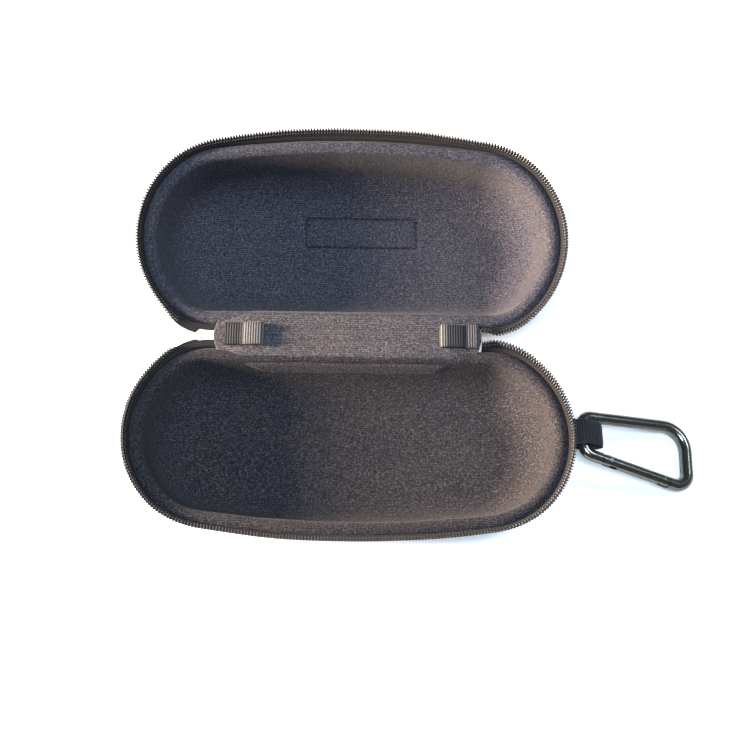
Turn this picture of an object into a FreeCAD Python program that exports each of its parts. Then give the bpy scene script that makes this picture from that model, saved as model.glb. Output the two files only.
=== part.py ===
import FreeCAD, Part
import math
import os
from FreeCAD import Vector

# Zipped hard-shell eyewear case, open, with a small carabiner on a webbing loop.
# World frame: +Z up, +X along the case towards the carabiner, +Y from the base to the lid.
# The origin is the centre of the base's flat underside. Lengths are in millimetres.
#
# Each half is designed in its own "half frame": the rim lies in z = 0, the wall beside
# the spine stands on y = 0 and the bowl reaches towards -y and -z.

# ---- driving dimensions -------------------------------------------------
WALL_HALF_LENGTH = 82.0      # outer face of the cover, at the rim
WALL_DEPTH = 74.6            # spine wall to front wall, at the rim
BACK_CORNER_RADIUS = 23.4
END_RADIUS = 39.0
FRONT_CORNER_RADIUS = 32.0
FRONT_RADIUS = 396.6
END_CENTRE_DEPTH = 34.9      # distance of the end arcs' centres from the spine wall

BASE_DEPTH = 26.0
WALL_DRAFT = 9.0             # degrees from the vertical
HEEL_RADIUS = 20.0           # fillet between wall and floor

COVER_THICKNESS = 0.8
SKIN_GAP = 0.05              # glue line between the layers
CORE_THICKNESS = 3.2
LINING_THICKNESS = 0.8

SPINE_WIDTH = 9.2
SPINE_HALF_LENGTH = 51.0
SPINE_EDGE_GAP = 0.35
OPEN_TILT = 19.0             # lid rim against base rim in the resting, open case

TAPE_THICKNESS = 0.55
TAPE_DROP = 6.5              # how far the zip tape reaches down the wall
FLARE_ANGLE = 45.0           # zip edge, leaning out from the vertical
FLARE_LENGTH = 0.9           # bare tape between the wall and the coil
COIL_WIDTH = 2.65
COIL_THICKNESS = 1.4
ZIP_END_X = 54.0             # the free zip halves stop this far from the middle

ROD_RADIUS = 2.3             # carabiner stock
CARABINER_LENGTH = 45.0      # between the centre lines of its two ends, on the gate side
CARABINER_REACH = 46.05      # from the small end to the farthest centre line of the wide end
CARABINER_SMALL_END = 15.0
CARABINER_WIDE_END = 25.8
LOOP_CENTRE = Vector(89.2, 6.2, 17.4)
LOOP_WIDTH = 10.0
WEBBING_THICKNESS = 1.1

BADGE_SIZE = (50.0, 16.4, 1.2)
BADGE_X = 3.6
BADGE_OFFSET = 7.0           # off the floor's middle, towards the lid's free edge

CROWN_OFFSET = 1.65          # outer side of the rim's rounded crown
CROWN_Z = -2.2
TAB_LOW = 0.95               # hinge tabs lie on the spine lining
TAB_HIGH = 3.0
PULL_AXIS = Vector(45.25, 0, -5.25)
LOOP_REACH = 5.6
LOOP_SLOPE = 8.0             # the webbing droops a little
GATE_LENGTH = 25.5           # pin to nose
GATE_KNUCKLE = 3.1
PIN_DISTANCE = 10.8          # from the small end's corner to the gate's pin
PIN_RADIUS = 0.8
LATCH_DISTANCE = 23.6
LATCH_RADIUS = 0.55
TONGUE_THICKNESS = 1.7

CHAIN_START = 28.6           # closed end of the zip, lying along the outside of the spine
CHAIN_END = 47.3
CHAIN_HALF_WIDTH = 2.9
CHAIN_TOP = -2.1
CHAIN_THICKNESS = 1.4
STOP_WALL = 0.5
STOP_TOP = -0.9
SLIDER_REAR = 40.5
SLIDER_NOSE = 50.0
SLIDER_HALF_WIDTH = 3.75
SLIDER_TOP = -1.0
SLIDER_HEIGHT = 3.6
PLATE_THICKNESS = 0.8
FLANGE_LENGTH = 5.5
FLANGE_THICKNESS = 0.55
POST_RADIUS = 0.85
BAIL_LENGTH = 5.5
BAIL_DEPTH = 2.2
BAIL_HALF_WIDTH = 0.6
PULL_LENGTH = 14.25          # from its axis to its tip
PULL_HALF_WIDTH = 2.3
PULL_HALF_THICKNESS = 0.55
PULL_EYE_LENGTH = 3.7

STITCH_HALF_WIDTH = 0.2      # sewing thread
STITCH_RISE = 0.25

# ---- values that follow from them ---------------------------------------
HALF_TILT = math.radians(OPEN_TILT / 2)
HINGE_LINE = Vector(0, WALL_DEPTH / 2, BASE_DEPTH)
LID_LINE = HINGE_LINE + Vector(0, math.cos(HALF_TILT), math.sin(HALF_TILT)) * SPINE_WIDTH
CORE_OUTER = COVER_THICKNESS + SKIN_GAP
CORE_INNER = CORE_OUTER + CORE_THICKNESS
LINING_OUTER = CORE_INNER + SKIN_GAP
LINING_INNER = LINING_OUTER + LINING_THICKNESS
DRAFT = math.radians(WALL_DRAFT)
FLARE = math.radians(FLARE_ANGLE)


def floor_inset(depth):
    """Distance from the wall at the rim to the edge of the flat floor."""
    return HEEL_RADIUS * math.cos(DRAFT) + (depth - HEEL_RADIUS * (1 - math.sin(DRAFT))) * math.tan(DRAFT)


def resting_lid_depth():
    """Depth at which the open lid's heel just clears the surface the base stands on."""
    tilt = math.radians(OPEN_TILT)
    clearance = 0.15
    depth = BASE_DEPTH
    for _ in range(40):
        heel_rise = floor_inset(depth) * math.sin(tilt) - HEEL_RADIUS * (1 - math.cos(tilt))
        depth = (LID_LINE.z - clearance + heel_rise) / math.cos(tilt)
    return depth


LID_DEPTH = resting_lid_depth()
CARABINER_SLOPE = math.degrees(math.asin((LOOP_CENTRE.z - ROD_RADIUS - 0.1) / CARABINER_REACH))


# ---- small helpers ------------------------------------------------------
def save(name, shapes):
    """Write one node: a shape, or a list of separate solids."""
    if isinstance(shapes, list):
        shapes = Part.makeCompound([solid for shape in shapes for solid in shape.Solids])
    shapes.exportStep("parts/" + name + ".step")


def box(x0, x1, y0, y1, z0, z1):
    return Part.makeBox(x1 - x0, y1 - y0, z1 - z0, Vector(x0, y0, z0))


def fused(shapes):
    return shapes[0].fuse(shapes[1:]).removeSplitter()


def turned(shape, axis, degrees):
    copy = shape.copy()
    copy.rotate(Vector(0, 0, 0), axis, degrees)
    return copy


def shifted(shape, offset):
    copy = shape.copy()
    copy.translate(offset)
    return copy


def profile_edges(start, steps):
    """Edges in the XZ plane. A step is a corner (u, z), or (middle, end) for an arc."""
    edges = []
    here = Vector(start[0], 0, start[1])
    for step in steps:
        if isinstance(step[0], tuple):
            middle = Vector(step[0][0], 0, step[0][1])
            end = Vector(step[1][0], 0, step[1][1])
            edges.append(Part.Arc(here, middle, end).toBSpline().toShape())
        else:
            end = Vector(step[0], 0, step[1])
            edges.append(Part.makeLine(here, end))
        here = end
    return edges


def section(start, steps):
    """Closed face in the XZ plane."""
    closing = [] if steps[-1][-1] == start else [start]
    return Part.Face(Part.Wire(profile_edges(start, steps + closing)))


# ---- plan outline -------------------------------------------------------
def outline_arcs():
    """Half length of the straight spine wall, and every arc: centre, radius, start, end."""
    end = Vector(WALL_HALF_LENGTH - END_RADIUS, -END_CENTRE_DEPTH, 0)
    rise = END_CENTRE_DEPTH - BACK_CORNER_RADIUS
    shift = math.sqrt((END_RADIUS - BACK_CORNER_RADIUS) ** 2 - rise ** 2)
    back = Vector(end.x + shift, -BACK_CORNER_RADIUS, 0)
    front = Vector(0, FRONT_RADIUS - WALL_DEPTH, 0)
    reach_end = END_RADIUS - FRONT_CORNER_RADIUS
    reach_front = FRONT_RADIUS - FRONT_CORNER_RADIUS
    span = end - front
    along = (reach_front ** 2 - reach_end ** 2 + span.Length ** 2) / (2 * span.Length)
    across = math.sqrt(reach_front ** 2 - along ** 2)
    unit = span * (1 / span.Length)
    sideways = Vector(-unit.y, unit.x, 0) * across
    corner = max(front + unit * along + sideways, front + unit * along - sideways,
                 key=lambda point: point.x)
    back_turn = math.degrees(math.atan2(back.y - end.y, back.x - end.x))
    corner_turn = math.degrees(math.atan2(corner.y - end.y, corner.x - end.x))
    front_turn = math.degrees(math.atan2(corner.y - front.y, corner.x - front.x))
    right = [(back, BACK_CORNER_RADIUS, back_turn, 90.0),
             (end, END_RADIUS, corner_turn, back_turn),
             (corner, FRONT_CORNER_RADIUS, front_turn, corner_turn)]
    left = [(Vector(-centre.x, centre.y, 0), radius, 180 - stop, 180 - start)
            for centre, radius, start, stop in right]
    middle = (front, FRONT_RADIUS, -180 - front_turn, front_turn)
    return back.x, right + [middle] + left


BACK_HALF_LENGTH, ARCS = outline_arcs()


def around(shape):
    """Carry a wall section, or one edge of it, round every arc. u is measured outwards."""
    pieces = []
    for centre, radius, first, last in ARCS:
        placed = shape.copy()
        placed.translate(Vector(radius, 0, 0))
        placed.rotate(Vector(0, 0, 0), Vector(0, 0, 1), first)
        placed.translate(centre)
        pieces.append(placed.revolve(centre, Vector(0, 0, 1), last - first))
    return pieces


def along_back(shape):
    """Carry the same section along the straight wall beside the spine."""
    placed = turned(shape, Vector(0, 0, 1), 90)
    placed.translate(Vector(-BACK_HALF_LENGTH, 0, 0))
    return placed.extrude(Vector(2 * BACK_HALF_LENGTH, 0, 0))


def outline_face(inset, z):
    """Flat face inside the outline, pulled in by an inset."""
    edges = []
    for centre, radius, first, last in ARCS:
        circle = Part.Circle(centre + Vector(0, 0, z), Vector(0, 0, 1), radius - inset)
        edges.append(Part.ArcOfCircle(circle, math.radians(first), math.radians(last)).toShape())
    edges.append(Part.makeLine(Vector(-BACK_HALF_LENGTH, -inset, z), Vector(BACK_HALF_LENGTH, -inset, z)))
    return Part.Face(Part.Wire(Part.sortEdges(edges)[0]))


# ---- the layers of one bowl ---------------------------------------------
def wall_point(offset, z):
    """Point on the drafted wall line, pulled in by an offset."""
    return z * math.tan(DRAFT) - offset / math.cos(DRAFT), z


def heel(depth, offset):
    """Tangent point on the wall, middle of the fillet, and its foot on the floor."""
    radius = HEEL_RADIUS - offset
    centre_u = -floor_inset(depth)
    centre_z = HEEL_RADIUS - depth
    halfway = (DRAFT + math.pi / 2) / 2
    wall = centre_u + radius * math.cos(DRAFT), centre_z - radius * math.sin(DRAFT)
    middle = centre_u + radius * math.cos(halfway), centre_z - radius * math.sin(halfway)
    foot = centre_u, centre_z - radius
    return wall, middle, foot


def bowl(depth, outer, inner, rim):
    """Layer between two offsets of the outside. The rim runs from the inner to the outer face."""
    outer_wall, outer_middle, outer_foot = heel(depth, outer)
    inner_wall, inner_middle, inner_foot = heel(depth, inner)
    outside = profile_edges(outer_wall, [(outer_middle, outer_foot)])
    inside = profile_edges(inner_foot, [(inner_middle, inner_wall)] + rim + [outer_wall])
    faces = [outline_face(floor_inset(depth), outer_foot[1]), outline_face(floor_inset(depth), inner_foot[1])]
    for edge in outside + inside:
        faces += around(edge) + [along_back(edge)]
    skin = Part.Shell(faces)
    skin.sewShape()
    solid = Part.Solid(skin)
    if solid.Volume < 0:
        solid.reverse()
    return solid


def cover(depth):
    """Woven outer cover, cut off just below the rim."""
    edge = -0.7
    return bowl(depth, 0, COVER_THICKNESS, [wall_point(COVER_THICKNESS, edge), wall_point(0, edge)])


def core(depth):
    """Moulded foam shell whose rim narrows to a rounded crown."""
    shoulder = -2.75
    crown_inner = wall_point(CORE_INNER, CROWN_Z)
    crown_outer = wall_point(CROWN_OFFSET, CROWN_Z)
    crown_top = (crown_inner[0] + crown_outer[0]) / 2, -LINING_THICKNESS - SKIN_GAP
    rim = [crown_inner, (crown_top, crown_outer), wall_point(CROWN_OFFSET, shoulder),
           wall_point(CORE_OUTER, shoulder)]
    return bowl(depth, CORE_OUTER, CORE_INNER, rim)


def lining(depth):
    """Knit lining that rolls over the crown and is tucked in behind the cover."""
    tuck = -2.65
    outer_offset = CROWN_OFFSET - SKIN_GAP
    hem_offset = outer_offset - LINING_THICKNESS + SKIN_GAP
    roll_inner = wall_point(LINING_INNER, CROWN_Z)
    roll_outer = wall_point(hem_offset, CROWN_Z)
    under_inner = wall_point(LINING_OUTER, CROWN_Z)
    under_outer = wall_point(outer_offset, CROWN_Z)
    middle_u = (roll_inner[0] + roll_outer[0]) / 2
    rim = [roll_inner, ((middle_u, 0), roll_outer), wall_point(hem_offset, tuck),
           wall_point(outer_offset, tuck), under_outer, ((middle_u, -LINING_THICKNESS), under_inner)]
    return bowl(depth, LINING_OUTER, LINING_INNER, rim)


# ---- zip fastener -------------------------------------------------------
def tape_side(offset):
    """One face of the zip tape: foot, bend and edge, at an offset outside the wall."""
    foot = wall_point(-offset, -TAPE_DROP)
    bend_base = wall_point(-SKIN_GAP, -0.2)
    thickness = offset - SKIN_GAP
    wall_normal = math.cos(DRAFT), -math.sin(DRAFT)
    flare_normal = math.cos(FLARE), -math.sin(FLARE)
    miter = thickness / (1 + wall_normal[0] * flare_normal[0] + wall_normal[1] * flare_normal[1])
    bend = (bend_base[0] + miter * (wall_normal[0] + flare_normal[0]),
            bend_base[1] + miter * (wall_normal[1] + flare_normal[1]))
    edge = (bend_base[0] + FLARE_LENGTH * math.sin(FLARE) + thickness * flare_normal[0],
            bend_base[1] + FLARE_LENGTH * math.cos(FLARE) + thickness * flare_normal[1])
    return foot, bend, edge


def trimmed_zip(shape):
    """Cut the zip away beside the spine."""
    return shape.cut(box(-ZIP_END_X, ZIP_END_X, -END_CENTRE_DEPTH, 20, -30, 30))


def zip_tape():
    inner_foot, inner_bend, inner_edge = tape_side(SKIN_GAP)
    outer_foot, outer_bend, outer_edge = tape_side(SKIN_GAP + TAPE_THICKNESS)
    steps = [outer_bend, outer_edge, inner_edge, inner_bend, inner_foot]
    return trimmed_zip(fused(around(section(outer_foot, steps))))


def zip_coil():
    """Envelope of the coiled teeth along the free edge of the tape."""
    inner_edge = tape_side(SKIN_GAP)[2]
    outer_edge = tape_side(SKIN_GAP + TAPE_THICKNESS)[2]
    root = (inner_edge[0] + outer_edge[0]) / 2, (inner_edge[1] + outer_edge[1]) / 2
    half = COIL_THICKNESS / 2
    along = math.sin(FLARE), math.cos(FLARE)
    across = math.cos(FLARE), -math.sin(FLARE)

    def corner(distance, side):
        return (root[0] + along[0] * distance + across[0] * side,
                root[1] + along[1] * distance + across[1] * side)

    steps = [corner(COIL_WIDTH, half), corner(COIL_WIDTH, -half), corner(0, -half)]
    return trimmed_zip(fused(around(section(corner(0, half), steps))))


def zip_seam():
    """Lockstitch that holds the tape to the wall, a thin bead along the tape's face."""
    face = SKIN_GAP + TAPE_THICKNESS
    proud = 0.25
    low = -4.7
    high = -4.1
    steps = [wall_point(-face, high), wall_point(-face - proud, high), wall_point(-face - proud, low)]
    return trimmed_zip(fused(around(section(wall_point(-face, low), steps))))


# ---- placing the two halves ---------------------------------------------
def on_base(shape):
    return shifted(shape, HINGE_LINE)


def on_lid(shape):
    mirrored = shape.mirror(Vector(0, 0, 0), Vector(0, 1, 0))
    return shifted(turned(mirrored, Vector(1, 0, 0), OPEN_TILT), LID_LINE)


def on_spine(shape):
    """Spine frame: x along the case, y across the spine from base to lid, z towards the inside."""
    return shifted(turned(shape, Vector(1, 0, 0), OPEN_TILT / 2), HINGE_LINE)


# ---- spine --------------------------------------------------------------
def spine_layer(z_low, z_high, half_length):
    strip = box(-half_length, half_length, SPINE_EDGE_GAP, SPINE_WIDTH - SPINE_EDGE_GAP, z_low, z_high)
    upright = [edge for edge in strip.Edges if abs(edge.tangentAt(edge.FirstParameter).z) > 0.9]
    return on_spine(strip.makeFillet(1.2, upright))


def hinge_tab(x_left, x_right):
    """Folded grosgrain tab sewn across the inside of the spine."""
    margin = 0.45
    tab = box(x_left, x_right, margin, SPINE_WIDTH - margin, TAB_LOW, TAB_HIGH)
    ends = [edge for edge in tab.Edges
            if abs(edge.tangentAt(edge.FirstParameter).y) > 0.9 and edge.CenterOfMass.z > TAB_LOW + 1]
    return on_spine(tab.makeFillet(0.9, ends))


def tab_stitches(x_seam):
    """One row of short stitches across a tab, standing a little proud of it."""
    count = 5
    pitch = 1.55
    half_length = 0.5
    first = SPINE_WIDTH / 2 - pitch * (count - 1) / 2
    left = x_seam - STITCH_HALF_WIDTH
    right = x_seam + STITCH_HALF_WIDTH
    stitches = []
    for index in range(count):
        y = first + index * pitch
        stitch = box(left, right, y - half_length, y + half_length, TAB_HIGH, TAB_HIGH + STITCH_RISE)
        stitches.append(on_spine(stitch))
    return stitches


# ---- slider and pull tab ------------------------------------------------
def across_spine(half_width):
    """Both edges of something centred on the middle of the spine."""
    return SPINE_WIDTH / 2 - half_width, SPINE_WIDTH / 2 + half_width


def end_chain():
    """Closed end of the zip, running along the outside of the spine into the slider."""
    low, high = across_spine(CHAIN_HALF_WIDTH)
    return on_spine(box(CHAIN_START, CHAIN_END, low, high, CHAIN_TOP - CHAIN_THICKNESS, CHAIN_TOP))


def end_stop():
    """Crimped stop that anchors the closed end of the zip to the spine."""
    low, high = across_spine(CHAIN_HALF_WIDTH + STOP_WALL)
    bottom = CHAIN_TOP - CHAIN_THICKNESS
    overlap = 1.4
    block = box(CHAIN_START - 2 * STOP_WALL, CHAIN_START + overlap, low, high, bottom - STOP_WALL, STOP_TOP)
    slot_low, slot_high = across_spine(CHAIN_HALF_WIDTH + SKIN_GAP)
    slot = box(CHAIN_START, CHAIN_START + overlap, slot_low, slot_high,
               bottom - SKIN_GAP, CHAIN_TOP + SKIN_GAP)
    return on_spine(block.cut(slot))


def slider_body():
    """Two plates joined by the nose post, with side flanges at the rear."""
    low, high = across_spine(SLIDER_HALF_WIDTH)
    bottom = SLIDER_TOP - SLIDER_HEIGHT
    upper = box(SLIDER_REAR, SLIDER_NOSE, low, high, SLIDER_TOP - PLATE_THICKNESS, SLIDER_TOP)
    lower = box(SLIDER_REAR, SLIDER_NOSE, low, high, bottom, bottom + PLATE_THICKNESS)
    post_x = SLIDER_NOSE - 1.4
    post = Part.makeCylinder(POST_RADIUS, SLIDER_HEIGHT, Vector(post_x, SPINE_WIDTH / 2, bottom))
    flange_end = SLIDER_REAR + FLANGE_LENGTH
    flanges = [box(SLIDER_REAR, flange_end, low, low + FLANGE_THICKNESS, bottom, SLIDER_TOP),
               box(SLIDER_REAR, flange_end, high - FLANGE_THICKNESS, high, bottom, SLIDER_TOP)]
    return on_spine(fused([upper, lower, post] + flanges))


def slider_bail():
    """Bridge on the slider's outer plate that carries the pull tab."""
    low, high = across_spine(BAIL_HALF_WIDTH)
    top = SLIDER_TOP - SLIDER_HEIGHT
    start = PULL_AXIS.x - BAIL_LENGTH / 2
    wall = 1.1
    arch = box(start, start + BAIL_LENGTH, low, high, top - BAIL_DEPTH, top)
    eye = box(start + wall, start + BAIL_LENGTH - wall, low - 1, high + 1, top - BAIL_DEPTH + 0.9, top + 1)
    return on_spine(arch.cut(eye))


def pull_tab():
    """Flat pull with an eye, hanging from the bail."""
    low, high = across_spine(PULL_HALF_WIDTH)
    eye_low, eye_high = across_spine(PULL_HALF_WIDTH / 2)
    left = PULL_AXIS.x - PULL_HALF_THICKNESS
    right = PULL_AXIS.x + PULL_HALF_THICKNESS
    eye_bottom = PULL_AXIS.z - PULL_EYE_LENGTH
    tip = PULL_AXIS.z - PULL_LENGTH
    bar_start = Vector(PULL_AXIS.x, low, PULL_AXIS.z)
    bar = Part.makeCylinder(PULL_HALF_THICKNESS, high - low, bar_start, Vector(0, 1, 0))
    arms = [box(left, right, low, eye_low, eye_bottom, PULL_AXIS.z),
            box(left, right, eye_high, high, eye_bottom, PULL_AXIS.z)]
    blade = box(left, right, low, high, tip, eye_bottom)
    corners = [edge for edge in blade.Edges
               if abs(edge.tangentAt(edge.FirstParameter).x) > 0.9 and edge.CenterOfMass.z < tip + 1]
    return on_spine(fused([bar, blade.makeFillet(1.6, corners)] + arms))


# ---- webbing loop and carabiner -----------------------------------------
def round_hull(near_radius, far_radius, reach, width):
    """Tapered rounded bar along Y: the hull of two circles a reach apart in X."""
    lean = math.acos((near_radius - far_radius) / reach)
    unit = math.cos(lean), math.sin(lean)
    near_top = near_radius * unit[0], near_radius * unit[1]
    near_low = near_top[0], -near_top[1]
    far_top = reach + far_radius * unit[0], far_radius * unit[1]
    far_low = far_top[0], -far_top[1]
    face = section(near_top, [far_top, ((reach + far_radius, 0), far_low), near_low,
                              ((-near_radius, 0), near_top)])
    face.translate(Vector(0, -width / 2, 0))
    return face.extrude(Vector(0, width, 0))


def strap_loop(base_wall):
    """Webbing loop out of the end wall: open round the carabiner, closed at the wall."""
    hole_radius = 3.0
    tip_radius = 1.3
    hole = round_hull(hole_radius, tip_radius, LOOP_REACH, LOOP_WIDTH + 2)
    outside = round_hull(hole_radius + WEBBING_THICKNESS, tip_radius + WEBBING_THICKNESS,
                         LOOP_REACH, LOOP_WIDTH)
    root = box(-12, -hole_radius, -LOOP_WIDTH / 2, LOOP_WIDTH / 2, -WEBBING_THICKNESS, WEBBING_THICKNESS)
    loop = turned(outside.fuse(root).cut(hole), Vector(0, 1, 0), LOOP_SLOPE)
    pieces = shifted(loop, LOOP_CENTRE).cut(base_wall).Solids
    return max(pieces, key=lambda piece: piece.Volume)


def carabiner_corners():
    """Corners of the rod's centre line: q grows from the straight side to the gate side."""
    spread = 1.8
    lean = 1.6
    return [(0, 0, 4.0), (CARABINER_LENGTH + lean, -spread, 9.0),
            (CARABINER_LENGTH, CARABINER_WIDE_END - spread, 5.5), (0, CARABINER_SMALL_END, 4.0)]


def gate_frame():
    """Start and direction of the gate's line, from the small end to the wide end."""
    corners = carabiner_corners()
    start = Vector(corners[3][0], -corners[3][1], 0)
    stop = Vector(corners[2][0], -corners[2][1], 0)
    direction = (stop - start) * (1 / (stop - start).Length)
    return start, direction


def rod_along(points):
    """Round rod through corner points (Vector, fillet radius); the end points have no fillet."""
    pieces = []
    here = points[0][0]
    for index in range(1, len(points) - 1):
        corner, radius = points[index]
        before = (points[index - 1][0] - corner).normalize()
        after = (points[index + 1][0] - corner).normalize()
        half_angle = before.getAngle(after) / 2
        trim = radius / math.tan(half_angle)
        arc_start = corner + before * trim
        arc_stop = corner + after * trim
        bisector = (before + after).normalize()
        centre = corner + bisector * (radius / math.sin(half_angle))
        run = arc_start - here
        pieces.append(Part.makeCylinder(ROD_RADIUS, run.Length, here, run))
        disc = Part.Face(Part.Wire(Part.makeCircle(ROD_RADIUS, arc_start, before)))
        normal = (arc_start - centre).cross(arc_stop - centre)
        turn = 180 - 2 * math.degrees(half_angle)
        pieces.append(disc.revolve(centre, normal, turn))
        here = arc_stop
    run = points[-1][0] - here
    pieces.append(Part.makeCylinder(ROD_RADIUS, run.Length, here, run))
    return pieces


def in_gate_frame(shape):
    """Move a shape built along +X, with -Y towards the outside of the gate, onto the gate's pin."""
    start, direction = gate_frame()
    heading = math.degrees(math.atan2(direction.y, direction.x))
    return shifted(turned(shape, Vector(0, 0, 1), heading), start + direction * PIN_DISTANCE)


def carabiner_hook():
    """Bent body: straight side, wide end with the nose, small end with the hinge tongue."""
    corners = [(Vector(p, -q, 0), radius) for p, q, radius in carabiner_corners()]
    start, direction = gate_frame()
    hinge_face = start + direction * (PIN_DISTANCE - GATE_KNUCKLE - 0.3)
    nose_face = start + direction * (PIN_DISTANCE + GATE_LENGTH + 0.35)
    rod = rod_along([(hinge_face, 0), corners[3], corners[0], corners[1], corners[2], (nose_face, 0)])
    half = TONGUE_THICKNESS / 2
    hinge_tongue = box(-GATE_KNUCKLE - 2, 0, -1.8, 1.8, -half, half)
    hinge_eye = Part.makeCylinder(1.8, TONGUE_THICKNESS, Vector(0, 0, -half))
    nose_tongue = box(LATCH_DISTANCE - 1.4, GATE_LENGTH + 2, -1.7, 0.9, -half, half)
    notch = box(LATCH_DISTANCE - 0.75, LATCH_DISTANCE + 0.75, 0, 2, -2, 2)
    notch_seat = Part.makeCylinder(0.75, 4, Vector(LATCH_DISTANCE, 0, -2))
    nose = nose_tongue.cut(notch.fuse(notch_seat))
    hook = fused(rod + [in_gate_frame(hinge_tongue.fuse(hinge_eye)), in_gate_frame(nose)])
    pin_hole = in_gate_frame(Part.makeCylinder(PIN_RADIUS, 6, Vector(0, 0, -3)))
    return hook.cut(pin_hole)


def carabiner_gate():
    """Spring gate: forked over the hinge tongue and slotted over the nose."""
    radius = ROD_RADIUS - 0.05
    rod = Part.makeCylinder(radius, GATE_LENGTH + GATE_KNUCKLE, Vector(-GATE_KNUCKLE, 0, 0), Vector(1, 0, 0))
    keep = Part.makeCylinder(GATE_KNUCKLE, 8, Vector(0, 0, -4)).fuse(box(0, GATE_LENGTH + 1, -4, 4, -4, 4))
    half_slot = TONGUE_THICKNESS / 2 + 0.15
    hinge_slot = box(-GATE_KNUCKLE - 1, 3.2, -4, 4, -half_slot, half_slot)
    nose_slot = box(LATCH_DISTANCE - 2.3, GATE_LENGTH + 1, -4, 4, -half_slot, half_slot)
    bore = Part.makeCylinder(0.7, 9, Vector(3, 0, 0), Vector(1, 0, 0))
    pin_hole = Part.makeCylinder(PIN_RADIUS + 0.05, 8, Vector(0, 0, -4))
    latch_hole = Part.makeCylinder(LATCH_RADIUS, 8, Vector(LATCH_DISTANCE, 0, -4))
    return in_gate_frame(rod.common(keep).cut(hinge_slot.fuse([nose_slot, bore, pin_hole, latch_hole])))


def gate_hinge_pin():
    return in_gate_frame(Part.makeCylinder(PIN_RADIUS, 4.1, Vector(0, 0, -2.05)))


def gate_latch_pin():
    return in_gate_frame(Part.makeCylinder(LATCH_RADIUS, 4.0, Vector(LATCH_DISTANCE, 0, -2.0)))


def gate_spring():
    """Close-wound spring in the gate's bore, as a sleeve of its outer size."""
    sleeve = Part.makeCylinder(0.65, 7.5, Vector(3.4, 0, 0), Vector(1, 0, 0))
    return in_gate_frame(sleeve.cut(Part.makeCylinder(0.3, 9, Vector(3, 0, 0), Vector(1, 0, 0))))


def on_carabiner(shape):
    """Lay the carabiner out from the loop, sloping down to rest on its wide end."""
    centred = shifted(shape, Vector(0, CARABINER_SMALL_END / 2, 0))
    return shifted(turned(centred, Vector(0, 1, 0), CARABINER_SLOPE), LOOP_CENTRE)


# ---- badge on the lid ---------------------------------------------------
def badge():
    length, width, thickness = BADGE_SIZE
    top = -LID_DEPTH - SKIN_GAP
    middle_y = -WALL_DEPTH / 2 - BADGE_OFFSET
    plate = box(BADGE_X - length / 2, BADGE_X + length / 2, middle_y - width / 2, middle_y + width / 2,
                top - thickness, top)
    corners = [edge for edge in plate.Edges if abs(edge.tangentAt(edge.FirstParameter).z) > 0.9]
    return on_lid(plate.makeFillet(2.0, corners))


def stitch_rectangle(z_low, z_high):
    """Running stitches round a rectangle just inside the badge's edge."""
    half_length = BADGE_SIZE[0] / 2 - 2
    half_width = BADGE_SIZE[1] / 2 - 2
    middle_y = -WALL_DEPTH / 2 - BADGE_OFFSET
    pitch = 2.6
    half_stitch = 0.85
    half_thread = STITCH_HALF_WIDTH
    stitches = []
    count = int(2 * half_length / pitch)
    for index in range(count):
        x = BADGE_X + (index - (count - 1) / 2) * pitch
        for y in (middle_y - half_width, middle_y + half_width):
            stitches.append(box(x - half_stitch, x + half_stitch, y - half_thread, y + half_thread,
                                z_low, z_high))
    count = int(2 * half_width / pitch)
    for index in range(count):
        y = middle_y + (index - (count - 1) / 2) * pitch
        for x in (BADGE_X - half_length, BADGE_X + half_length):
            stitches.append(box(x - half_thread, x + half_thread, y - half_stitch, y + half_stitch,
                                z_low, z_high))
    return [on_lid(stitch) for stitch in stitches]


# ---- build --------------------------------------------------------------
def build_half(prefix, depth, place):
    save(prefix + "_cover", place(cover(depth)))
    save(prefix + "_shell", place(core(depth)))
    save(prefix + "_lining", place(lining(depth)))
    save(prefix + "_zip_tape", place(zip_tape()))
    save(prefix + "_zip_coil", place(zip_coil()))
    save(prefix + "_zip_seam", place(zip_seam()))


def build_spine():
    save("spine_cover", spine_layer(-0.9, -0.35, SPINE_HALF_LENGTH))
    save("spine_stiffener", spine_layer(-0.3, 0.25, SPINE_HALF_LENGTH - 1.5))
    save("spine_lining", spine_layer(0.3, 0.9, SPINE_HALF_LENGTH))
    save("hinge_tab_left", hinge_tab(-48.0, -33.0))
    save("hinge_tab_right", hinge_tab(34.0, 48.5))
    save("hinge_tab_stitching", tab_stitches(-42.0) + tab_stitches(44.0))


def build_slider():
    save("zip_end_chain", end_chain())
    save("zip_end_stop", end_stop())
    save("zip_slider", slider_body())
    save("slider_bail", slider_bail())
    save("pull_tab", pull_tab())


def build_carabiner():
    base_wall = on_base(cover(BASE_DEPTH)).fuse([on_base(core(BASE_DEPTH)), on_base(zip_tape())])
    save("strap_loop", strap_loop(base_wall))
    save("carabiner_hook", on_carabiner(carabiner_hook()))
    save("carabiner_gate", on_carabiner(carabiner_gate()))
    save("gate_hinge_pin", on_carabiner(gate_hinge_pin()))
    save("gate_latch_pin", on_carabiner(gate_latch_pin()))
    save("gate_spring", on_carabiner(gate_spring()))


def build_badge():
    outer_face = -LID_DEPTH - SKIN_GAP - BADGE_SIZE[2]
    inner_face = -LID_DEPTH + LINING_INNER
    save("lid_badge", badge())
    save("badge_stitching", stitch_rectangle(outer_face - STITCH_RISE, outer_face)
         + stitch_rectangle(inner_face, inner_face + STITCH_RISE))


os.makedirs("parts", exist_ok=True)
build_half("base", BASE_DEPTH, on_base)
build_half("lid", LID_DEPTH, on_lid)
build_spine()
build_slider()
build_carabiner()
build_badge()
print("lid depth", round(LID_DEPTH, 2), "hinge", HINGE_LINE, "lid line", LID_LINE)
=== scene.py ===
import math

import bpy
import numpy as np
from mathutils import Matrix, Vector, noise


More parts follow.
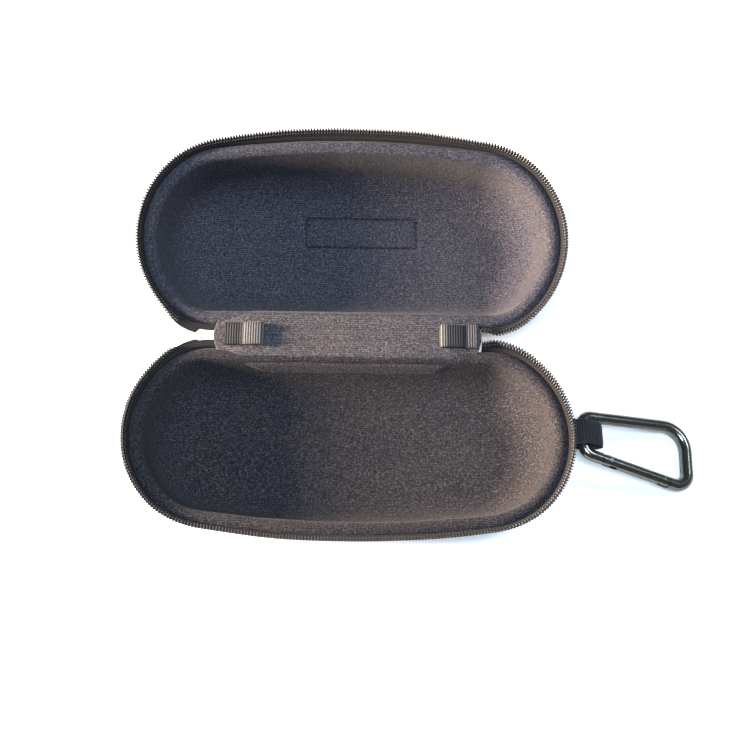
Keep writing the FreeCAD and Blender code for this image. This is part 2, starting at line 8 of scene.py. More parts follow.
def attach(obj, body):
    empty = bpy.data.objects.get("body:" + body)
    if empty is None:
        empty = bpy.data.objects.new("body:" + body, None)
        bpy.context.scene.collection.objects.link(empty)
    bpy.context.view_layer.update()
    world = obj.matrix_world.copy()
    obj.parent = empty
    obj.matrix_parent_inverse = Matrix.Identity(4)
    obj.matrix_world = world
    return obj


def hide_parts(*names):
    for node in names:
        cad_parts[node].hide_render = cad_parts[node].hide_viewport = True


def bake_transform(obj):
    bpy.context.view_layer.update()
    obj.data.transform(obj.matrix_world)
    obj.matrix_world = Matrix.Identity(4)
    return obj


# Looks of an open, zipped eyewear case with a carabiner on a webbing loop.
# Shapes are worked out in millimetres in the "half frame" of one bowl: the rim lies in
# z = 0, the wall beside the spine stands on y = 0 and the bowl reaches towards -y and -z.

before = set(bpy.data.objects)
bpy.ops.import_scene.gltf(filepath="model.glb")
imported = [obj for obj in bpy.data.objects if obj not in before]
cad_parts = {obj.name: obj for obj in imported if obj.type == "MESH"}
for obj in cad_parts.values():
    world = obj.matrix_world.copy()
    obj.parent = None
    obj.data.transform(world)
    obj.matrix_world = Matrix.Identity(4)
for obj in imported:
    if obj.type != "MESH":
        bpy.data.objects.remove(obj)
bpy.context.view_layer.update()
MM = 0.001

# ---- sizes shared with the model ----------------------------------------
WALL_HALF_LENGTH = 82.0
WALL_DEPTH = 74.6
BACK_CORNER_RADIUS = 23.4
END_RADIUS = 39.0
FRONT_CORNER_RADIUS = 32.0
FRONT_RADIUS = 396.6
END_CENTRE_DEPTH = 34.9
BASE_DEPTH = 26.0
LID_DEPTH = 35.617
DRAFT = math.radians(9.0)
HEEL_RADIUS = 20.0
COVER_THICKNESS = 0.8
LINING_INNER = 4.9           # lining's face, measured in from the outside of the wall
SPINE_WIDTH = 9.2
SPINE_ENDS = (-53.0, 50.6)
HALF_TILT = math.radians(9.5)
HINGE = np.array([0.0, 37.3, 26.0])
LID_HINGE = HINGE + SPINE_WIDTH * np.array([0.0, math.cos(HALF_TILT), math.sin(HALF_TILT)])
TAPE_DROP = 6.5
FLARE = math.radians(45.0)
FLARE_LENGTH = 0.9           # bare tape between the wall and the coil
FRONT_SLACK = 1.4            # more bare tape where the zip hangs free along the front
COIL_WIDTH = 2.65
COIL_PITCH = 1.13
COIL_WIRE = 0.29             # radius of the coil's wire
COIL_SWING = COIL_WIDTH / 2 - 0.28      # half the coil's width, to the wire's middle
TAPE_THICKNESS = 0.42
TAPE_OUTSIDE = 0.33          # from the wall's face out to the middle of the tape
TAPE_BEND_Z = -0.2           # where the tape leaves the wall
SEAM_PITCH = 2.6
SEAM_Z = -4.4
LINING_THICKNESS = 0.6
COVER_CLOTH = 0.35
SPINE_CLOTH = 0.3
LOOP_CENTRE = np.array([89.2, 6.2, 17.4])
LOOP_SLOPE = math.radians(8.0)
BADGE_LENGTH = 50.0
BADGE_WIDTH = 16.4
BADGE_THICKNESS = 1.2
BADGE_INSET = 2.0            # from the badge's edge to its stitches
GROOVE_WIDTH = 0.7           # the stitches pull the lining in this far to each side
GROOVE_DEPTH = 0.7
BADGE_THREAD = 0.24
BADGE_STITCH = 2.1           # about this long, made to fit each side
BADGE_X = 3.6
BADGE_OFFSET = 7.0           # off the floor's middle, towards the lid's free edge
BADGE_Y = -WALL_DEPTH / 2 - BADGE_OFFSET

TAB_RIB = 0.96               # rib pitch of the hinge tabs
TAB_RIB_HEIGHT = 0.2
TAB_WIDTH = 9.0
TAB_THICKNESS = 0.5
STRAP_RIB = 0.88             # and of the webbing loop
STRAP_RIB_HEIGHT = 0.15
STRAP_WIDTH = 10.0
STRAP_THICKNESS = 0.7
FLOOR_HALF_SIZE = 1.1        # metres

# ---- camera and lights --------------------------------------------------
CAMERA_TARGET = Vector((0.00757, 0.02803, 0.026))
CAMERA_DISTANCE = 0.4193
CAMERA_ELEVATION = math.radians(64.17)
CAMERA_AZIMUTH = math.radians(-1.564)
CAMERA_ROLL = math.radians(2.236)
CAMERA_LENS = 53.32
LIGHT_TARGET = Vector((0.01, 0.03, 0.02))


# ---- plan outline -------------------------------------------------------
def outline_arcs():
    """Right-hand arcs from the back corner to the front: centre, radius, first and last angle."""
    end = np.array([WALL_HALF_LENGTH - END_RADIUS, -END_CENTRE_DEPTH])
    rise = END_CENTRE_DEPTH - BACK_CORNER_RADIUS
    reach_back = math.sqrt((END_RADIUS - BACK_CORNER_RADIUS) ** 2 - rise ** 2)
    back = np.array([end[0] + reach_back, -BACK_CORNER_RADIUS])
    front = np.array([0.0, FRONT_RADIUS - WALL_DEPTH])
    reach_end = END_RADIUS - FRONT_CORNER_RADIUS
    reach_front = FRONT_RADIUS - FRONT_CORNER_RADIUS
    span = end - front
    distance = np.linalg.norm(span)
    along = (reach_front ** 2 - reach_end ** 2 + distance ** 2) / (2 * distance)
    across = math.sqrt(reach_front ** 2 - along ** 2)
    unit = span / distance
    sideways = np.array([-unit[1], unit[0]]) * across
    corner = max(front + unit * along + sideways, front + unit * along - sideways, key=lambda p: p[0])
    back_turn = math.atan2(*(back - end)[::-1])
    corner_turn = math.atan2(*(corner - end)[::-1])
    front_turn = math.atan2(*(corner - front)[::-1])
    return [(back, BACK_CORNER_RADIUS, math.pi / 2, back_turn), (end, END_RADIUS, back_turn, corner_turn),
            (corner, FRONT_CORNER_RADIUS, corner_turn, front_turn),
            (front, FRONT_RADIUS, front_turn, -math.pi / 2)]


def plan_curve():
    """Outline, clockwise from the middle of the back: running length, point, heading of its normal."""
    arcs = outline_arcs()
    straight = np.linspace(0, arcs[0][0][0], 200)
    points = [np.stack([straight, np.zeros(200)], 1)]
    headings = [np.full(200, math.pi / 2)]
    for centre, radius, first, last in arcs:
        turn = np.linspace(first, last, 400)[1:]
        points.append(centre + radius * np.stack([np.cos(turn), np.sin(turn)], 1))
        headings.append(turn)
    right = np.concatenate(points)
    heading = np.concatenate(headings)
    points = np.concatenate([right, (right * (-1, 1))[::-1][1:]])
    heading = np.concatenate([heading, (-math.pi - heading)[::-1][1:]])
    steps = np.linalg.norm(np.diff(points, axis=0), axis=1)
    return np.concatenate([[0.0], np.cumsum(steps)]), points, heading


PLAN_RUN, PLAN_POINTS, PLAN_HEADING = plan_curve()
PLAN_LENGTH = PLAN_RUN[-1]


def plan_at(run):
    """Points and outward normals of the outline at the given running lengths."""
    x = np.interp(run, PLAN_RUN, PLAN_POINTS[:, 0])
    y = np.interp(run, PLAN_RUN, PLAN_POINTS[:, 1])
    heading = np.interp(run, PLAN_RUN, PLAN_HEADING)
    return np.stack([x, y], -1), np.stack([np.cos(heading), np.sin(heading)], -1)


def on_plan(run, u, z):
    """Half-frame points: u outwards from the outline and z up, for each running length."""
    point, normal = plan_at(run)
    u, z = np.broadcast_arrays(u, z)
    flat = point[..., None, :] + normal[..., None, :] * u[..., None]
    return np.concatenate([flat, np.broadcast_to(z, flat.shape[:-1])[..., None]], -1)


def run_at_x(x):
    """Running length where the right-hand back of the outline reaches x."""
    right = PLAN_POINTS[:, 0][: int(np.argmax(PLAN_POINTS[:, 0]))]
    return float(np.interp(x, right, PLAN_RUN[: len(right)]))


# ---- places -------------------------------------------------------------
def turned_about_x(points, angle):
    turned = np.array(points, float)
    turned[..., 1] = points[..., 1] * math.cos(angle) - points[..., 2] * math.sin(angle)
    turned[..., 2] = points[..., 1] * math.sin(angle) + points[..., 2] * math.cos(angle)
    return turned


def on_base(points):
    return points + HINGE


def on_lid(points):
    return turned_about_x(points * np.array([1.0, -1.0, 1.0]), 2 * HALF_TILT) + LID_HINGE


def on_spine(points):
    return turned_about_x(points, HALF_TILT) + HINGE


def on_loop(points):
    """Webbing loop: x away from the case, z up, sloping down a little."""
    turned = np.array(points, float)
    turned[..., 0] = points[..., 0] * math.cos(LOOP_SLOPE) + points[..., 2] * math.sin(LOOP_SLOPE)
    turned[..., 2] = points[..., 2] * math.cos(LOOP_SLOPE) - points[..., 0] * math.sin(LOOP_SLOPE)
    return turned + LOOP_CENTRE


# ---- mesh helpers -------------------------------------------------------
def mesh_object(name, points, faces, uv=None):
    """Object from points in millimetres in the row frame; uv is one pair for each point."""
    mesh = bpy.data.meshes.new(name)
    mesh.from_pydata((np.asarray(points).reshape(-1, 3) * MM).tolist(), [], faces)
    mesh.update()
    if uv is not None:
        layer = mesh.uv_layers.new(name="UVMap")
        loops = np.zeros(len(mesh.loops), np.int32)
        mesh.loops.foreach_get("vertex_index", loops)
        layer.data.foreach_set("uv", np.asarray(uv, np.float32).reshape(-1, 2)[loops].ravel())
    mesh.polygons.foreach_set("use_smooth", [True] * len(mesh.polygons))
    piece = bpy.data.objects.new(name, mesh)
    bpy.context.scene.collection.objects.link(piece)
    return piece


def grid_faces(rows, columns, close_rows=False, close_columns=False):
    """Quads between neighbouring points of a grid, in the order of its rows."""
    faces = []
    for i in range(rows if close_rows else rows - 1):
        for j in range(columns if close_columns else columns - 1):
            a = i * columns + j
            b = i * columns + (j + 1) % columns
            c = ((i + 1) % rows) * columns + (j + 1) % columns
            d = ((i + 1) % rows) * columns + j
            faces.append((a, b, c, d))
    return faces


def smooth_path(points, count):
    """Even points along a Catmull-Rom curve through the given ones."""
    points = np.asarray(points, float)
    padded = np.concatenate([[2 * points[0] - points[1]], points, [2 * points[-1] - points[-2]]])
    t = np.linspace(0, 1, 24, endpoint=False)[:, None]
    pieces = []
    for a, b, c, d in zip(padded, padded[1:], padded[2:], padded[3:]):
        pieces.append(0.5 * (2 * b + (c - a) * t + (2 * a - 5 * b + 4 * c - d) * t ** 2
                             + (3 * b - a - 3 * c + d) * t ** 3))
    fine = np.concatenate(pieces + [points[-1:]])
    run = np.concatenate([[0], np.cumsum(np.linalg.norm(np.diff(fine, axis=0), axis=1))])
    even = np.linspace(0, run[-1], count)
    return np.stack([np.interp(even, run, fine[:, k]) for k in range(fine.shape[1])], 1)


def path_run(path):
    return np.concatenate([[0], np.cumsum(np.linalg.norm(np.diff(path, axis=0), axis=1))])


def ease(value, low, high):
    """0 below low, 1 above high and smooth between them."""
    t = np.clip((np.asarray(value, float) - low) / (high - low), 0, 1)
    return t * t * (3 - 2 * t)


def wander(run, pitch, seed):
    """Smooth random waviness between about -1 and 1 along a running length."""
    values = [noise.noise(Vector((float(r) / pitch, seed, 0.3))) for r in np.ravel(run)]
    return np.array(values).reshape(np.shape(run))


def thicken(piece, thickness, side):
    """Give a surface its cloth thickness; side is -1, 0 or 1."""
    solid = piece.modifiers.new("thickness", "SOLIDIFY")
    solid.thickness = thickness * MM
    solid.offset = side
    return piece


def finish_piece(piece, material, bodies, replaced=()):
    """Material, body and the CAD nodes that this piece stands for."""
    piece.data.materials.append(material)
    if isinstance(bodies, str):
        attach(piece, bodies)
    if replaced:
        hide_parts(*replaced)
    return piece


def end_caps(rows, columns):
    """Faces that close both ends of a tube made of rows of points."""
    last = (rows - 1) * columns
    return [tuple(range(columns)), tuple(range(last + columns - 1, last - 1, -1))]


def tube_along(path, radius, sides=6):
    """Points and faces of a round tube along a path in millimetres."""
    path = np.asarray(path, float)
    ahead = np.gradient(path, axis=0)
    ahead /= np.linalg.norm(ahead, axis=1)[:, None]
    guide = np.tile([0.0, 0.0, 1.0], (len(path), 1))
    guide[np.abs(ahead[:, 2]) > 0.95] = (0.0, 1.0, 0.0)
    side = np.cross(ahead, guide)
    side /= np.linalg.norm(side, axis=1)[:, None]
    up = np.cross(side, ahead)
    turn = np.linspace(0, 2 * math.pi, sides, endpoint=False)
    radius = np.broadcast_to(radius, (len(path),))[:, None, None]
    ring = np.cos(turn)[None, :, None] * side[:, None] + np.sin(turn)[None, :, None] * up[:, None]
    points = path[:, None] + ring * radius
    faces = grid_faces(len(path), sides, close_columns=True)
    return points.reshape(-1, 3), faces + end_caps(len(path), sides)


def joined(parts):
    """One set of points and faces out of several."""
    points, faces, first = [], [], 0
    for some_points, some_faces in parts:
        points.append(some_points)
        faces += [tuple(first + index for index in face) for face in some_faces]
        first += len(some_points)
    return np.concatenate(points), faces


def stitch(centre, along, up, length, radius):
    """One short, slightly arched thread with tapered ends."""
    t = np.linspace(-1, 1, 7)[:, None]
    path = centre + along * t * length / 2 + up * (1 - t ** 2) * radius * 0.5
    return tube_along(path, radius * np.array([0.45, 0.8, 1, 1, 1, 0.8, 0.45]))


# ---- material helpers ---------------------------------------------------
class Shader:
    """A material's node tree, with short calls to add and join nodes."""

    def __init__(self, name, roughness, sheen=0.0, metallic=0.0, specular=0.5):
        self.material = bpy.data.materials.new(name)
        self.material.use_nodes = True
        self.tree = self.material.node_tree
        self.surface = self.tree.nodes["Principled BSDF"]
        self.surface.inputs["Roughness"].default_value = roughness
        self.surface.inputs["Metallic"].default_value = metallic
        self.surface.inputs["Specular IOR Level"].default_value = specular
        self.surface.inputs["Sheen Weight"].default_value = sheen
        self.surface.inputs["Sheen Roughness"].default_value = 0.45

    def link(self, source, target):
        self.tree.links.new(source, target)

    def place(self, kind="Object", scale=(1, 1, 1)):
        """Coordinates in millimetres for Object, or the piece's own UV."""
        coordinates = self.tree.nodes.new("ShaderNodeTexCoord")
        mapping = self.tree.nodes.new("ShaderNodeMapping")
        factor = 1000 if kind == "Object" else 1
        mapping.inputs["Scale"].default_value = [s * factor for s in scale]
        self.link(coordinates.outputs[kind], mapping.inputs["Vector"])
        return mapping.outputs["Vector"]

    def noise(self, vector, scale, detail=2.0, rough=0.5):
        node = self.tree.nodes.new("ShaderNodeTexNoise")
        node.inputs["Scale"].default_value = scale
        node.inputs["Detail"].default_value = detail
        node.inputs["Roughness"].default_value = rough
        self.link(vector, node.inputs["Vector"])
        return node.outputs["Fac"]

    def cells(self, vector, scale):
        node = self.tree.nodes.new("ShaderNodeTexVoronoi")
        node.inputs["Scale"].default_value = scale
        self.link(vector, node.inputs["Vector"])
        return node.outputs["Distance"]

    def wave(self, vector, scale, direction, distortion=0.0, detail=1.0, detail_scale=1.0):
        node = self.tree.nodes.new("ShaderNodeTexWave")
        node.bands_direction = direction
        node.inputs["Scale"].default_value = scale
        node.inputs["Distortion"].default_value = distortion
        node.inputs["Detail"].default_value = detail
        node.inputs["Detail Scale"].default_value = detail_scale
        self.link(vector, node.inputs["Vector"])
        return node.outputs["Fac"]

    def math(self, operation, first, second=0.0, third=0.0):
        node = self.tree.nodes.new("ShaderNodeMath")
        node.operation = operation
        for socket, value in zip(node.inputs, (first, second, third)):
            if isinstance(value, (int, float)):
                socket.default_value = value
            else:
                self.link(value, socket)
        return node.outputs[0]

    def ramp(self, factor, stops):
        node = self.tree.nodes.new("ShaderNodeValToRGB")
        ramp = node.color_ramp
        while len(ramp.elements) < len(stops):
            ramp.elements.new(0.5)
        for element, (position, colour) in zip(ramp.elements, stops):
            element.position = position
            element.color = (*colour, 1)
        self.link(factor, node.inputs["Fac"])
        return node.outputs["Color"]

    def mix(self, factor, first, second, kind="MIX"):
        node = self.tree.nodes.new("ShaderNodeMix")
        node.data_type = "RGBA"
        node.blend_type = kind
        if isinstance(factor, (int, float)):
            node.inputs["Factor"].default_value = factor
        else:
            self.link(factor, node.inputs["Factor"])
        for socket, value in ((node.inputs[6], first), (node.inputs[7], second)):
            if isinstance(value, tuple):
                socket.default_value = (*value, 1)
            else:
                self.link(value, socket)
        return node.outputs[2]

    def colour(self, value):
        self.link(value, self.surface.inputs["Base Color"])

    def roughness(self, factor, low, high):
        node = self.tree.nodes.new("ShaderNodeMapRange")
        node.inputs["To Min"].default_value = low
        node.inputs["To Max"].default_value = high
        self.link(factor, node.inputs["Value"])
        self.link(node.outputs["Result"], self.surface.inputs["Roughness"])

    def bump(self, height, distance):
        """Height in units of distance, which is in millimetres."""
        node = self.tree.nodes.new("ShaderNodeBump")
        node.inputs["Distance"].default_value = distance * MM
        self.link(height, node.inputs["Height"])
        self.link(node.outputs["Normal"], self.surface.inputs["Normal"])


WAVE_UNIT = math.pi / 10      # wave texture scale that gives a period of one


# ---- materials ----------------------------------------------------------
LINT_COLOUR = (0.20, 0.185, 0.175)


def knit_material(name, dark, middle, light):
    """Charcoal brushed knit: fine courses with painted shade in their valleys, a heathered fleck, soft nap
    and specks of lint.
    """
    s = Shader(name, 0.9, sheen=0.05, specular=0.08)
    place = s.place()
    plan = s.place("UV")
    courses = s.wave(plan, WAVE_UNIT / 0.82, "Y", distortion=2.2, detail=2.0, detail_scale=0.9)
    wales = s.wave(plan, WAVE_UNIT / 0.62, "X", distortion=2.6, detail=2.0, detail_scale=1.1)
    fleck = s.noise(place, 1.5, detail=3.0, rough=0.8)
    nap = s.noise(place, 3.4, detail=2.0, rough=0.6)
    patches = s.noise(place, 0.045, detail=2.0)
    base = s.ramp(fleck, [(0.36, dark), (0.52, middle), (0.68, light)])
    lint = s.ramp(s.noise(place, 0.95, detail=2.0, rough=0.9), [(0.70, (0, 0, 0)), (0.78, (1, 1, 1))])
    base = s.mix(lint, base, LINT_COLOUR)
    # Painted shade: the colour is darkened in the valleys between the courses and wales.
    shade = s.ramp(s.math("MULTIPLY_ADD", courses, 0.7, s.math("MULTIPLY", wales, 0.18)),
                   [(0.08, (0.50, 0.50, 0.53)), (0.75, (1.0, 1.0, 1.0))])
    base = s.mix(0.85, base, shade, "MULTIPLY")
    tone = s.ramp(patches, [(0.3, (0.82, 0.84, 0.92)), (0.7, (1.0, 0.96, 0.93))])
    s.colour(s.mix(0.8, base, tone, "MULTIPLY"))
    height = s.math("MULTIPLY_ADD", wales, 0.14, s.math("MULTIPLY", nap, 0.9))
    height = s.math("MULTIPLY_ADD", courses, 0.5, height)
    s.bump(s.math("ADD", height, fleck), 0.17)
    s.roughness(nap, 0.82, 0.98)
    return s.material


def weave(s, plan, pitch):
    """Height of a plain weave: two crossed sets of threads over and under each other."""
    scale = WAVE_UNIT / pitch
    warp = s.wave(plan, scale, "X")
    weft = s.wave(plan, scale, "Y")
    return s.math("MAXIMUM", s.math("MULTIPLY", warp, 0.9), weft)


def cover_material():
    """Black woven nylon cover with a coarse plain weave."""
    s = Shader("cover_weave", 0.7, sheen=0.02, specular=0.14)
    plan = s.place("UV")
    place = s.place()
    threads = weave(s, plan, 0.55)
    worn = s.noise(place, 0.12, detail=4.0, rough=0.6)
    lint = s.noise(place, 2.4, detail=2.0)
    base = s.ramp(threads, [(0.15, (0.003, 0.003, 0.0035)), (0.8, (0.013, 0.013, 0.015))])
    tone = s.ramp(worn, [(0.35, (0.85, 0.86, 0.9)), (0.7, (1.15, 1.12, 1.08))])
    s.colour(s.mix(0.7, base, tone, "MULTIPLY"))
    s.bump(s.math("MULTIPLY_ADD", lint, 0.25, threads), 0.14)
    s.roughness(worn, 0.55, 0.72)
    return s.material


def tape_material():
    """Woven zip tape: fine lengthwise cords crossed by a herringbone."""
    s = Shader("tape_weave", 0.85, sheen=0.01, specular=0.1)
    plan = s.place("UV")
    cords = s.wave(plan, 0.72, "Y")
    picks = s.wave(plan, 0.95, "DIAGONAL", distortion=0.4)
    fuzz = s.noise(s.place(), 3.2, detail=2.0)
    height = s.math("MULTIPLY_ADD", cords, 0.7, s.math("MULTIPLY", picks, 0.5))
    base = s.ramp(s.math("MULTIPLY_ADD", fuzz, 0.5, s.math("MULTIPLY", height, 0.6)),
                  [(0.3, (0.002, 0.002, 0.0025)), (0.85, (0.022, 0.021, 0.023))])
    s.colour(base)
    s.bump(height, 0.12)
    s.roughness(fuzz, 0.65, 0.85)
    return s.material


def coil_material():
    """Black nylon monofilament with a soft gloss."""
    s = Shader("coil_nylon", 0.3, specular=0.45)
    place = s.place()
    streak = s.noise(place, 1.2, detail=3.0)
    s.colour(s.ramp(streak, [(0.3, (0.004, 0.004, 0.0045)), (0.75, (0.012, 0.0115, 0.012))]))
    s.roughness(streak, 0.22, 0.4)
    s.bump(s.noise(place, 6.0), 0.02)
    return s.material


def thread_material(name, dark, light):
    """Twisted sewing thread."""
    s = Shader(name, 0.6, sheen=0.03, specular=0.2)
    place = s.place()
    twist = s.wave(place, 1.6, "DIAGONAL", distortion=0.6)
    s.colour(s.ramp(twist, [(0.2, dark), (0.85, light)]))
    s.bump(twist, 0.05)
    s.roughness(s.noise(place, 2.0), 0.5, 0.75)
    return s.material


def grosgrain_material(name, pitch, dark, light):
    """Ribbed ribbon: raised weft ribs with painted shade darkening the valleys between them, and fine warp
    ends across them.
    """
    s = Shader(name, 0.6, sheen=0.05, specular=0.2)
    plan = s.place("UV")
    ends = s.wave(plan, WAVE_UNIT / 0.42, "Y", distortion=0.8)
    ribs = s.wave(plan, WAVE_UNIT / pitch, "X")
    fuzz = s.noise(s.place(), 2.2, detail=3.0, rough=0.7)
    blend = s.math("MULTIPLY_ADD", ends, 0.4, s.math("MULTIPLY", fuzz, 0.7))
    base = s.ramp(blend, [(0.25, dark), (0.85, light)])
    # Painted shade: the colour falls almost to black in the valleys between the ribs.
    rib_valley_painted_shade = s.ramp(ribs, [(0.3, (0.04, 0.04, 0.045)), (0.95, (1, 1, 1))])
    s.colour(s.mix(0.9, base, rib_valley_painted_shade, "MULTIPLY"))
    s.bump(s.math("MULTIPLY_ADD", ends, 0.6, fuzz), 0.08)
    s.roughness(fuzz, 0.45, 0.65)
    return s.material


def metal_material(name, dark, light, roughness, metallic):
    """Metal or painted metal with faint rolling marks and worn spots."""
    s = Shader(name, roughness, metallic=metallic, specular=0.5)
    place = s.place()
    grain = s.noise(place, 0.9, detail=4.0, rough=0.6)
    marks = s.noise(s.place(scale=(1, 9, 9)), 0.35, detail=3.0)
    s.colour(s.ramp(grain, [(0.3, dark), (0.75, light)]))
    s.roughness(marks, roughness * 0.75, roughness * 1.3)
    s.bump(s.math("MULTIPLY_ADD", marks, 0.6, s.noise(place, 5.0)), 0.012)
    return s.material


def rubber_material():
    """Fine moulded rubber for the blank badge."""
    s = Shader("badge_rubber_fine", 0.7, specular=0.4)
    place = s.place()
    grain = s.cells(place, 2.2)
    s.colour(s.ramp(grain, [(0.1, (0.012, 0.012, 0.013)), (0.6, (0.026, 0.026, 0.028))]))
    s.bump(grain, 0.05)
    s.roughness(s.noise(place, 0.5), 0.6, 0.8)
    return s.material


def foam_material():
    """Cut edge of the closed-cell foam shell."""
    s = Shader("foam_cells", 0.9, specular=0.2)
    cells = s.cells(s.place(), 2.8)
    s.colour(s.ramp(cells, [(0.1, (0.012, 0.012, 0.013)), (0.6, (0.04, 0.04, 0.042))]))
    s.bump(cells, 0.12)
    return s.material


def floor_material():
    """Pale matt paper."""
    s = Shader("floor_paper", 0.85, specular=0.2)
    fibre = s.noise(s.place(), 0.02, detail=5.0)
    s.colour(s.ramp(fibre, [(0.3, (0.87, 0.87, 0.87)), (0.7, (0.90, 0.90, 0.90))]))
    s.bump(s.noise(s.place(), 0.4, detail=3.0), 0.02)
    return s.material


# ---- bowls --------------------------------------------------------------
LOOP_COUNT = 760             # points round one bowl
FLOOR_RINGS = 44


def wall_u(offset, z):
    """Distance outwards of the drafted wall, pulled in by an offset."""
    return z * math.tan(DRAFT) - offset / math.cos(DRAFT)


def floor_inset(depth):
    return HEEL_RADIUS * math.cos(DRAFT) + (depth - HEEL_RADIUS * (1 - math.sin(DRAFT))) * math.tan(DRAFT)


def bowl_profile(depth, offset, top):
    """Wall, heel and floor edge as (u, z), from the height top down to the floor."""
    centre = -floor_inset(depth), HEEL_RADIUS - depth
    radius = HEEL_RADIUS - offset
    turn = np.linspace(-DRAFT, -math.pi / 2, 26)
    arc = np.stack([centre[0] + radius * np.cos(turn), centre[1] + radius * np.sin(turn)], 1)
    z = np.linspace(top, arc[0][1], 14)[:-1]
    wall = np.stack([wall_u(offset, z), z], 1)
    return np.concatenate([wall, arc])


def bowl_object(name, profile, place, relief):
    """Bowl surface from a rim-to-floor profile. relief(points) says how far it moves outwards."""
    run = np.linspace(0, PLAN_LENGTH, LOOP_COUNT, endpoint=False)
    wall = on_plan(run, profile[:, 0], profile[:, 1])
    foot = wall[:, -1]
    centre = np.array([0.0, -WALL_DEPTH / 2, profile[-1, 1]])
    shares = (np.arange(1, FLOOR_RINGS + 1) / (FLOOR_RINGS + 0.6))[None, :, None]
    rings = foot[:, None] * (1 - shares) + centre * shares
    points = np.concatenate([wall, rings], 1)
    lengths = path_run(profile[::-1])[::-1]
    normal = plan_at(run)[1]
    spread = wall[:, -1:, :2] + normal[:, None] * lengths[None, :, None]
    uv = np.concatenate([spread, rings[..., :2]], 1)
    down_path = np.gradient(points, axis=1)
    round_path = np.roll(points, -1, 0) - np.roll(points, 1, 0)
    outward = np.cross(round_path, down_path)
    outward /= np.linalg.norm(outward, axis=2)[..., None]
    points = points + outward * relief(points)[..., None]
    columns = points.shape[1]
    faces = [face[::-1] for face in grid_faces(LOOP_COUNT, columns, close_rows=True)]
    faces.append(tuple(range(columns - 1, LOOP_COUNT * columns, columns)))
    if place is on_lid:
        faces = [face[::-1] for face in faces]
    return mesh_object(name, place(points), faces, uv)


def field(points, pitch, seed):
    """Smooth random relief between about -1 and 1 at each point."""
    flat = points.reshape(-1, 3) / pitch + seed
    values = np.array([noise.noise(Vector(p)) for p in flat])
    return values.reshape(points.shape[:-1])


def lining_profile(depth):
    """The lining's face: from the zip tape, rolled over the rim, then down the wall."""
    hem = -0.38
    crown_z = -2.2
    outer = wall_u(hem, crown_z)
    inner = wall_u(LINING_INNER, crown_z)
    turn = np.linspace(math.radians(10), math.pi, 21)
    middle = (outer + inner) / 2
    roll = np.stack([middle + np.cos(turn) * (outer - inner) / 2, crown_z + np.sin(turn) * -crown_z], 1)
    return np.concatenate([roll[:-1], bowl_profile(depth, LINING_INNER, crown_z)])


def cloth(piece):
    """Gives back the bonded cloth layer unchanged."""
    return piece


def badge_groove(points):
    """How far the lining is pulled in along the badge's stitched rectangle, 0 to 1."""
    beside_x = np.abs(points[..., 0] - BADGE_X) - (BADGE_LENGTH / 2 - BADGE_INSET)
    beside_y = np.abs(points[..., 1] - BADGE_Y) - (BADGE_WIDTH / 2 - BADGE_INSET)
    away = np.abs(np.maximum(beside_x, beside_y))
    return np.exp(-(away / GROOVE_WIDTH) ** 2)


def make_lining(name, depth, place, body, replaced, material, seed):
    def relief(points):
        rim = ease(points[..., 2], -6.0, -1.0)
        move = 0.10 * field(points, 14.0, seed) + 0.12 * rim * field(points, 9.0, seed + 5)
        if body == "lid":
            floor = 1 - ease(points[..., 2], -depth + LINING_INNER + 0.5, -depth + LINING_INNER + 1.5)
            move = move + GROOVE_DEPTH * floor * badge_groove(points)
        return move

    piece = bowl_object(name, lining_profile(depth), place, relief)
    thicken(piece, LINING_THICKNESS, 1)
    finish_piece(piece, material, body, replaced)
    return cloth(piece)


def cover_profile(depth):
    """Outer cover: turned edge just under the zip, wall, heel and floor."""
    edge = -1.9
    turn = np.linspace(math.pi, 0, 7)
    half = COVER_THICKNESS / 2 - 0.05
    middle = wall_u(half + 0.05, edge)
    lip = np.stack([middle + np.cos(turn) * half, edge + np.sin(turn) * half], 1)
    inside = np.array([[wall_u(COVER_THICKNESS - 0.05, z), z] for z in (-3.8, -2.8)])
    return np.concatenate([inside, lip, bowl_profile(depth, 0.0, -2.4)])


def make_cover(name, depth, place, body, replaced, material, seed):
    def relief(points):
        lower = ease(points[..., 2], -4.0, -9.0)
        return 0.05 * lower * field(points, 18.0, seed)

    piece = bowl_object(name, cover_profile(depth), place, relief)
    thicken(piece, COVER_CLOTH, -1)
    finish_piece(piece, material, body, replaced)
    return cloth(piece)


# ---- zip ----------------------------------------------------------------
ZIP_RIGHT_X = 50.6           # where the zip's free part starts, right of the spine
ZIP_LEFT_X = 59.0            # and where its coil is cut off, left of it
TAPE_LEFT_X = 51.4           # its tape runs on, trimmed narrower, to the spine
TAPE_TAIL = {"base": 0.05, "lid": 0.6}      # how much wider the tape shows where the coil ends
TAPE_TRIM = 0.72             # width left where it is trimmed


def zip_runs(step):
    """Running lengths of the zip, from the right end of the spine round to the left end."""
    start = run_at_x(ZIP_RIGHT_X)
    stop = PLAN_LENGTH - run_at_x(ZIP_LEFT_X)
    return np.linspace(start, stop, int((stop - start) / step))


def from_zip_ends(run):
    """Distances along the zip from its right end and from its left end."""
    return run - run_at_x(ZIP_RIGHT_X), PLAN_LENGTH - run_at_x(ZIP_LEFT_X) - run


def zip_slack(run):
    """More bare tape along the front and beside both ends of the spine."""
    right, left = from_zip_ends(run)
    front = 1 - ease(np.abs(run - PLAN_LENGTH / 2), 22, 62)
    return FRONT_SLACK * front + 0.5 * (1 - ease(right, 4, 18)) + 0.9 * (1 - ease(left, 0, 16))


def zip_lean(run, seed):
    """How far the free edge leans out: pulled down at both ends, and slightly wavy."""
    right, left = from_zip_ends(run)
    pulled = 0.36 * (1 - ease(right, 6, 24)) - 0.55 * (1 - ease(right, 0, 7))
    pulled = pulled + 0.5 * (1 - ease(left, 2, 24))
    return FLARE + pulled + 0.07 * wander(run, 26.0, seed) * ease(np.minimum(right, left), 8, 30)


